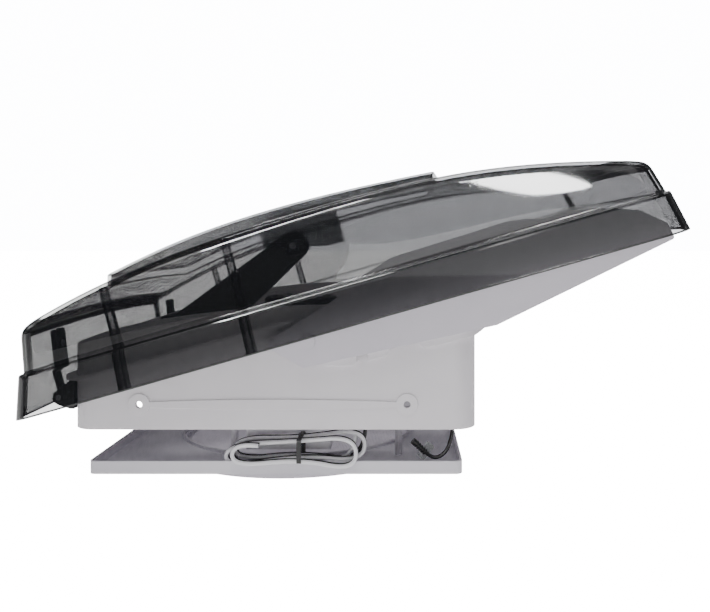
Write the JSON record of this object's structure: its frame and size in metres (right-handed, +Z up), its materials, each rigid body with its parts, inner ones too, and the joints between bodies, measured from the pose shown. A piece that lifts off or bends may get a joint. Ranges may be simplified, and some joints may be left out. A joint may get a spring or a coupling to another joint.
{
  "type": "caravan roof vent",
  "caption": "Low-profile powered caravan roof vent: smoked lid raised on a lift arm over a square white base, rain shield wings, fan duct, and ceiling tray with screen below.",
  "frame": {"origin": "centre of the base collar's bottom rim, in the roof's plane", "axes": "+X towards the lid's lifting end, +Z up away from the roof"},
  "size_m": [0.5811, 0.416, 0.292],
  "materials": {
    "base_white": "satin moulded",
    "duct_white": "moulded",
    "bridge_white": "moulded",
    "screw_steel": "plated",
    "motor_can": "satin",
    "motor_cap": "brushed",
    "shaft_steel": "ground",
    "clip_steel": "sprung",
    "fan_white": "moulded",
    "black_plastic": "moulded",
    "smoked_acrylic": "polished smoked acrylic",
    "shield_white": "satin moulded",
    "panel_white": "satin moulded",
    "post_white": "moulded",
    "net_grey": "woven",
    "key_rubber": "matt",
    "sensor_dark": "polished",
    "board_green": "lacquered",
    "grommet_black": "matt",
    "lead_white": "satin jacket",
    "lead_black": "satin jacket",
    "tie_black": "moulded",
    "clear_plastic": "clear moulded"
  },
  "bodies": {
    "frame": {"base_housing": "base_white", "fan_shroud": "duct_white", "motor_bridge": "bridge_white", "bridge_screws": "screw_steel", "fan_motor": "motor_can", "motor_cap": "motor_cap", "cap_screws": "screw_steel", "motor_screws": "screw_steel", "lift_gearbox": "black_plastic", "gearbox_cover": "black_plastic", "lift_motor": "motor_can", "lift_shaft": "shaft_steel", "hinge_bracket_near": "base_white", "hinge_bracket_far": "base_white", "hinge_pins": "shaft_steel", "hinge_bracket_screws": "screw_steel", "shield_pins": "shield_white", "ceiling_panel": "panel_white", "panel_posts": "post_white", "panel_screws": "screw_steel", "screen_bezel": "panel_white", "insect_screen": "net_grey", "latch_pins": "panel_white", "keypad": "panel_white", "sensor_window": "sensor_dark", "keypad_board": "board_green", "control_box": "panel_white", "control_board": "board_green", "box_screws": "screw_steel", "lead_grommets": "grommet_black", "lead_white": "lead_white", "lead_black": "lead_black", "cable_tie": "tie_black", "sensor_lead": "lead_black", "sensor_relief": "lead_black", "sensor_plug": "clear_plastic"},
    "lid": {"lid_shell": "smoked_acrylic", "hinge_leaf_near": "black_plastic", "hinge_leaf_far": "black_plastic", "leaf_screws": "screw_steel", "lift_bracket": "black_plastic", "bracket_screws": "screw_steel"},
    "shield": {"rain_shield": "shield_white", "shield_grille": "shield_white"},
    "arm": {"lift_arm": "black_plastic", "arm_pin": "shaft_steel"},
    "fan": {"rotor_shaft": "shaft_steel", "fan_blade": "fan_white", "hub_clip": "clip_steel"},
    "latch_1": {"screen_latch_1": "panel_white"},
    "latch_2": {"screen_latch_2": "panel_white"},
    "latch_3": {"screen_latch_3": "panel_white"},
    "latch_4": {"screen_latch_4": "panel_white"},
    "key_fan_low_body": {"key_fan_low": "key_rubber"},
    "key_fan_high_body": {"key_fan_high": "key_rubber"},
    "key_lid_body": {"key_lid": "key_rubber"},
    "key_power_body": {"key_power": "key_rubber"}
  },
  "joints": [
    {"name": "lid_hinge", "type": "hinge", "parent": "frame", "child": "lid", "pos_m": [-0.192, 0, 0.026], "axis": [0, 1, 0], "range_deg": [0, 15.85]},
    {"name": "shield_pivot", "type": "hinge", "parent": "frame", "child": "shield", "pos_m": [0.0314, 0, 0.0773], "axis": [0, 1, 0], "range_deg": [0, 26]},
    {"name": "arm_pivot", "type": "hinge", "parent": "frame", "child": "arm", "pos_m": [-0.115, 0, 0.062], "axis": [0, 1, 0], "range_deg": [0, 25]},
    {"name": "fan_spin", "type": "hinge", "parent": "frame", "child": "fan", "pos_m": [0, 0, 0.022], "axis": [0, 0, 1], "continuous": true},
    {"name": "latch_turn_1", "type": "hinge", "parent": "frame", "child": "latch_1", "pos_m": [0.13597, 0.0785, -0.0506], "axis": [0, 0, 1], "range_deg": [0, 90]},
    {"name": "latch_turn_2", "type": "hinge", "parent": "frame", "child": "latch_2", "pos_m": [-0.13597, 0.0785, -0.0506], "axis": [0, 0, 1], "range_deg": [0, 90]},
    {"name": "latch_turn_3", "type": "hinge", "parent": "frame", "child": "latch_3", "pos_m": [-0.13597, -0.0785, -0.0506], "axis": [0, 0, 1], "range_deg": [0, 90]},
    {"name": "latch_turn_4", "type": "hinge", "parent": "frame", "child": "latch_4", "pos_m": [0.13597, -0.0785, -0.0506], "axis": [0, 0, 1], "range_deg": [0, 90]},
    {"name": "key_fan_low_press", "type": "slide", "parent": "frame", "child": "key_fan_low_body", "axis": [0, 0, 1], "range_m": [0, 0.001], "stiffness_N_per_m": 1500, "springref_m": -0.001},
    {"name": "key_fan_high_press", "type": "slide", "parent": "frame", "child": "key_fan_high_body", "axis": [0, 0, 1], "range_m": [0, 0.001], "stiffness_N_per_m": 1500, "springref_m": -0.001},
    {"name": "key_lid_press", "type": "slide", "parent": "frame", "child": "key_lid_body", "axis": [0, 0, 1], "range_m": [0, 0.001], "stiffness_N_per_m": 1500, "springref_m": -0.001},
    {"name": "key_power_press", "type": "slide", "parent": "frame", "child": "key_power_body", "axis": [0, 0, 1], "range_m": [0, 0.001], "stiffness_N_per_m": 1500, "springref_m": -0.001}
  ],
  "couplings": [
    {"joint": "shield_pivot", "follows": "lid_hinge", "ratio": 1.6403},
    {"joint": "arm_pivot", "follows": "lid_hinge", "ratio": 1.5772}
  ]
}
